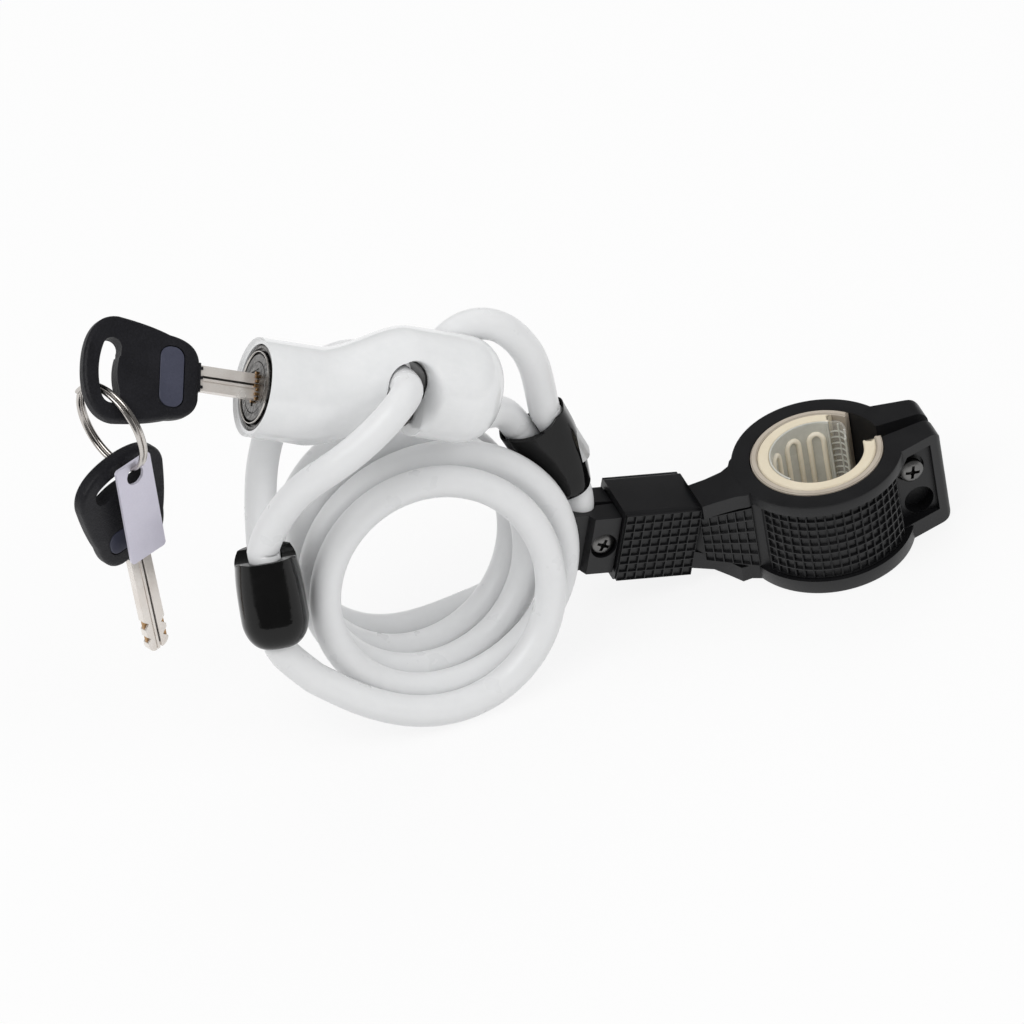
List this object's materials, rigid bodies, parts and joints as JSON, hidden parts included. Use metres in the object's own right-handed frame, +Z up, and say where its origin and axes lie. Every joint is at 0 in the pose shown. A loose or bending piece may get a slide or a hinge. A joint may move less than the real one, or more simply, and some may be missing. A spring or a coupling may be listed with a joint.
{
  "type": "self-coiling bicycle cable lock",
  "caption": "Key-operated lock head on a self-coiling cable with two eye loops, keys on a split ring, and a clamp bracket that carries the lock on a frame tube.",
  "frame": {"origin": "middle of the foot of the box round the rigid pieces, on the surface that the coil and the clamp stand on", "axes": "+X along the whole lock from the keys to the clamp, +Y to the back, +Z up"},
  "size_m": [0.2148, 0.0766, 0.1272],
  "materials": {
    "cable_sheath": "smooth vinyl, semi-gloss",
    "head_shell": "gloss moulded",
    "sleeve_gloss": "high gloss",
    "crimp_metal": "pressed",
    "core_steel": "satin",
    "cam_metal": "die-cast zinc, dull",
    "wafer_brass": "stamped",
    "key_metal": "nickel plated, satin",
    "key_plastic": "fine moulded grain",
    "key_inlay": "satin",
    "ring_metal": "bright nickel",
    "tag_plate": "satin, pale violet",
    "bracket_plastic": "satin moulded",
    "screw_steel": "dark zinc",
    "liner_cream": "smooth",
    "liner_clear": "translucent, ribbed"
  },
  "bodies": {
    "root": {"cable_coil": "cable_sheath", "eye_loop_left": "cable_sheath", "eye_loop_right": "cable_sheath", "sleeve_left": "sleeve_gloss", "crimp_ferrule_left": "crimp_metal", "sleeve_right": "sleeve_gloss", "crimp_ferrule_right": "crimp_metal", "head_shell": "head_shell", "core_barrel": "core_steel", "core_retainer_pin": "core_steel", "clip_jaw_front": "bracket_plastic", "clip_jaw_rear": "bracket_plastic", "clip_screw": "screw_steel"},
    "plug": {"cylinder_plug": "core_steel", "wafer_1": "wafer_brass", "wafer_2": "wafer_brass", "wafer_3": "wafer_brass", "wafer_4": "wafer_brass", "wafer_5": "wafer_brass", "drive_cam": "cam_metal"},
    "bolt": {"lock_bolt": "core_steel", "bolt_pin": "core_steel"},
    "key_a": {"key_a_bow": "key_plastic", "key_a_blade": "key_metal", "key_a_inlay": "key_inlay"},
    "ring": {"split_ring": "ring_metal"},
    "key_b": {"key_b_bow": "key_plastic", "key_b_blade": "key_metal", "key_b_inlay": "key_inlay"},
    "tag": {"number_tag": "tag_plate"},
    "bracket": {"frame_clamp": "bracket_plastic", "clamp_screw": "screw_steel", "clamp_nut": "screw_steel", "liner_outer": "liner_clear", "liner_inner": "liner_cream", "grip_collar": "bracket_plastic"}
  },
  "joints": [
    {"name": "plug_turn", "type": "hinge", "parent": "root", "child": "plug", "pos_m": [-0.05986, -0.01146, 0.1], "axis": [0.8799, 0.1175, -0.4604], "range_deg": [0, 90]},
    {"name": "bolt_slide", "type": "slide", "parent": "root", "child": "bolt", "axis": [-0.8799, -0.1175, 0.4604], "range_m": [0, 0.0124]},
    {"name": "key_a_draw", "type": "slide", "parent": "plug", "child": "key_a", "axis": [-0.8799, -0.1175, 0.4604], "range_m": [0, 0.02]},
    {"name": "ring_swing", "type": "hinge", "parent": "key_a", "child": "ring", "pos_m": [-0.0959, -0.02105, 0.11469], "axis": [-0.5917, 0.8062, 0], "range_deg": [-12, 20]},
    {"name": "key_b_swing", "type": "hinge", "parent": "ring", "child": "key_b", "pos_m": [-0.0959, -0.02105, 0.09069], "axis": [-0.5917, 0.8062, 0], "range_deg": [-10, 10]},
    {"name": "tag_swing", "type": "hinge", "parent": "ring", "child": "tag", "pos_m": [-0.09235, -0.02589, 0.0923], "axis": [-0.5124, 0.6982, -0.5], "range_deg": [-10, 10]},
    {"name": "bracket_pull_off", "type": "slide", "parent": "root", "child": "bracket", "axis": [0.9237, 0.2475, -0.2924], "range_m": [0, 0.02]}
  ],
  "couplings": [
    {"joint": "bolt_slide", "follows": "plug_turn", "m_per_rad": 0.0078941}
  ]
}
